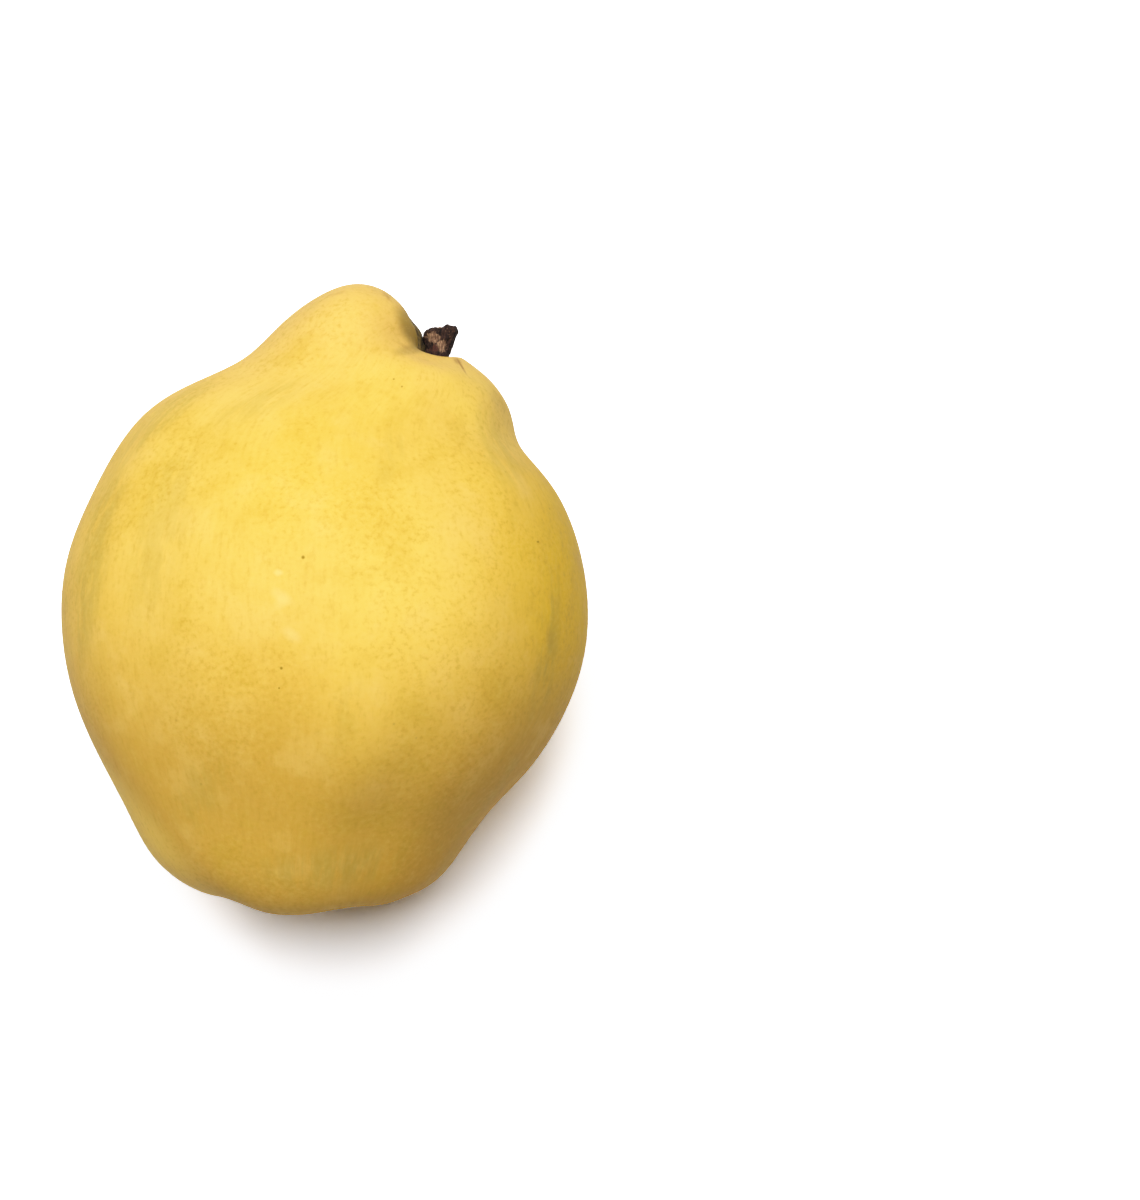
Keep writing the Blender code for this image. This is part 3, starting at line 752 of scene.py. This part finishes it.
def withered_threads():
    """Threads in mm, one grid each. A thread's line starts on a ring in the cup, rises along the
    calyx's axis and wanders sideways by waves of its own. A point is on the line, plus the thread's
    radius in the direction of the angle, and the radius swells at the end: an anther or a stigma."""
    chance = np.random.default_rng(12)
    count = FILAMENTS + STYLES
    style = np.arange(count) >= FILAMENTS
    step = np.linspace(0, 1, THREAD_ROWS)
    turn = np.linspace(0, 2 * math.pi, THREAD_COLUMNS, endpoint=False)
    angle = np.where(style, np.arange(count) * 2 * math.pi / STYLES, np.arange(count) * 2.4)
    angle = angle + chance.uniform(-0.15, 0.15, count)
    start = np.where(style, 0.45, chance.uniform(1.5, 2.4, count))
    length = np.where(style, chance.uniform(3.2, 4.0, count), chance.uniform(2.6, 4.6, count))
    lean = np.where(style, chance.uniform(0.2, 0.7, count), chance.uniform(-1.3, 0.5, count))
    drift = chance.uniform(-1.0, 1.0, count)
    wave = chance.uniform(0.1, 0.35, (2, count))
    shift = chance.uniform(0, 6.28, (2, count))
    thick = np.where(style, 0.26, chance.uniform(0.10, 0.15, count))
    swell = np.where(style, 0.34, chance.uniform(0.28, 0.40, count))

    reach = start[:, None] + lean[:, None] * step**2
    reach = reach + wave[0][:, None] * np.sin(5 * step + shift[0][:, None]) * step
    round_it = drift[:, None] * step**2 * 0.5
    round_it = round_it + wave[1][:, None] * np.sin(4 * step + shift[1][:, None]) * step
    aim = angle[:, None] + round_it / np.maximum(reach, 0.8)
    foot = CALYX[1] - CUP_FALL * start**2 + 0.3
    line = np.stack((
        CALYX[0] + reach * np.cos(aim),
        foot[:, None] - (length + 0.3)[:, None] * step,
        reach * np.sin(aim)), axis=2)
    slope = np.gradient(line, axis=1)
    slope /= np.linalg.norm(slope, axis=2, keepdims=True)
    first = np.cross(slope, (1.0, 0.0, 0.3))
    first /= np.linalg.norm(first, axis=2, keepdims=True)
    second = np.cross(slope, first)
    end = bell(step - 0.9, 0.06)
    size = thick[:, None] * (1.15 - 0.3 * step) + (swell - thick)[:, None] * end
    size = size * np.sqrt(np.clip(1 - ((step - 0.5) * 2) ** 16, 0, 1))
    seen = line[:, :, None] * 2.4
    lumpy = 1 + 0.25 * random_height(seen + np.cos(turn)[:, None] * (1, 0, 0), 10)
    ring = np.cos(turn)[:, None] * first[:, :, None] + np.sin(turn)[:, None] * second[:, :, None]
    marks = np.stack(np.broadcast_arrays(np.cos(turn) * 0.5, angle[:, None, None] * 3,
                                         step[:, None] * 5), axis=3)
    return line[:, :, None] + (size[..., None] * lumpy)[..., None] * ring, marks


thread_rows, thread_grain = withered_threads()
thread_rows = lie_down(thread_rows) * MM + fruit_middle
withered = dry_leaf("withered_stamens", DARK_THREAD, PALE_THREAD, 2.2)
stamens = closed_surface("stamens_and_styles", thread_rows, {"grain": thread_grain}, withered)
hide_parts("stamen_tuft")
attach(stamens, "root")

# ---------------------------------------------------------------------------------------------
# Floor, light and camera. A matt white sheet, one soft square light panel above the fruit and a
# little towards its stem end, and a camera that looks down across the fruit's long axis.

FLOOR_TONE = (0.91, 0.915, 0.95)
FLOOR_BOUNCE = 0.85   # brightness of the sheet as it lights the fruit, and as the camera sees it
FLOOR_SEEN = 1.88
GLOW_BEGINS = 0.16    # distances from the fruit's middle, in metres
GLOW_FULL = 0.45
GLOW_STRENGTH = 1.5
floor_mesh = bpy.data.meshes.new("floor")
floor_mesh.from_pydata([(-4, -4, 0), (4, -4, 0), (4, 4, 0), (-4, 4, 0)], [], [(0, 1, 2, 3)])
# the camera sees the sheet brighter than it lights the fruit, as on an overexposed sheet
white = bpy.data.materials.new("white_floor")
white.use_nodes = True
sheet = white.node_tree
matt = node(sheet, "ShaderNodeBsdfDiffuse")
seen = node(sheet, "ShaderNodeLightPath").outputs["Is Camera Ray"]
exposure = between(sheet, seen, 0, 1, FLOOR_BOUNCE, FLOOR_SEEN)
tone = node(sheet, "ShaderNodeVectorMath", {0: FLOOR_TONE, "Scale": exposure}, operation="SCALE")
sheet.links.new(tone.outputs[0], matt.inputs["Color"])
# beyond the light's reach the sheet stays as white as it is beside the fruit
spot = node(sheet, "ShaderNodeTexCoord").outputs["Object"]
away = node(sheet, "ShaderNodeVectorMath", {0: spot, 1: fruit_middle}, operation="DISTANCE")
far = between(sheet, away.outputs["Value"], GLOW_BEGINS, GLOW_FULL, 0, GLOW_STRENGTH)
glow = node(sheet, "ShaderNodeEmission", {"Strength": maths(sheet, "MULTIPLY", far, seen)})
both = node(sheet, "ShaderNodeAddShader", {0: matt.outputs[0], 1: glow.outputs[0]})
sheet.links.new(both.outputs[0], sheet.nodes["Material Output"].inputs["Surface"])
floor_mesh.materials.append(white)
floor = bpy.data.objects.new("floor", floor_mesh)
bpy.context.scene.collection.objects.link(floor)

PANEL_SIZE = 0.70
PANEL_POWER = 16.4
PANEL_DISTANCE = 0.9
PANEL_TURN = math.radians(103)   # from the fruit's right, towards its stem end
PANEL_TILT = math.radians(12)    # from straight above
panel = bpy.data.lights.new("overhead_panel", "AREA")
panel.size = PANEL_SIZE
panel.energy = PANEL_POWER
holder = bpy.data.objects.new("overhead_panel", panel)
holder.rotation_euler = (0, PANEL_TILT, PANEL_TURN)
level = np.array((math.cos(PANEL_TURN), math.sin(PANEL_TURN), 0))
upwards = np.array((0, 0, math.cos(PANEL_TILT)))
holder.location = fruit_middle + PANEL_DISTANCE * (math.sin(PANEL_TILT) * level + upwards)
bpy.context.scene.collection.objects.link(holder)

STUDIO_LIGHT = 0.01
STUDIO_SEEN = 2.0
studio = bpy.data.worlds.new("studio")
studio.use_nodes = True
walls = studio.node_tree
backdrop = walls.nodes["Background"]
backdrop.inputs["Color"].default_value = (1, 1, 1, 1)
in_view = node(walls, "ShaderNodeLightPath").outputs["Is Camera Ray"]
strength = between(walls, in_view, 0, 1, STUDIO_LIGHT, STUDIO_SEEN)
walls.links.new(strength, backdrop.inputs["Strength"])
bpy.context.scene.world = studio

CAMERA_DISTANCE = 0.465
CAMERA_HEIGHT = math.radians(78)
CAMERA_ASIDE = 0.0404
view = bpy.data.cameras.new("camera")
view.lens = 85
view.sensor_width = 36
camera = bpy.data.objects.new("camera", view)
aim = fruit_middle + (CAMERA_ASIDE, 0, 0)
towards = np.array((0, -math.cos(CAMERA_HEIGHT), math.sin(CAMERA_HEIGHT)))
camera.location = aim + CAMERA_DISTANCE * towards
camera.rotation_euler = (math.pi / 2 - CAMERA_HEIGHT, 0, 0)
bpy.context.scene.collection.objects.link(camera)
bpy.context.scene.camera = camera

# The camera's response, as light and level: straight up to the middle tones, then a soft shoulder.
DARKEST = (0.0, 0.0)
SHOULDER = ((0.25, 0.25), (0.5, 0.5), (0.8, 0.755), (1.1, 0.945), (1.25, 0.99))
WHITEST = (1.35, 1.0)
display = bpy.context.scene.view_settings
display.view_transform = "Standard"
display.use_curve_mapping = True
response = display.curve_mapping
response.clip_max_x = 2.0
curve = response.curves[3]
curve.points[0].location = DARKEST
curve.points[1].location = WHITEST
for light, level_seen in SHOULDER:
    curve.points.new(light, level_seen)
response.update()
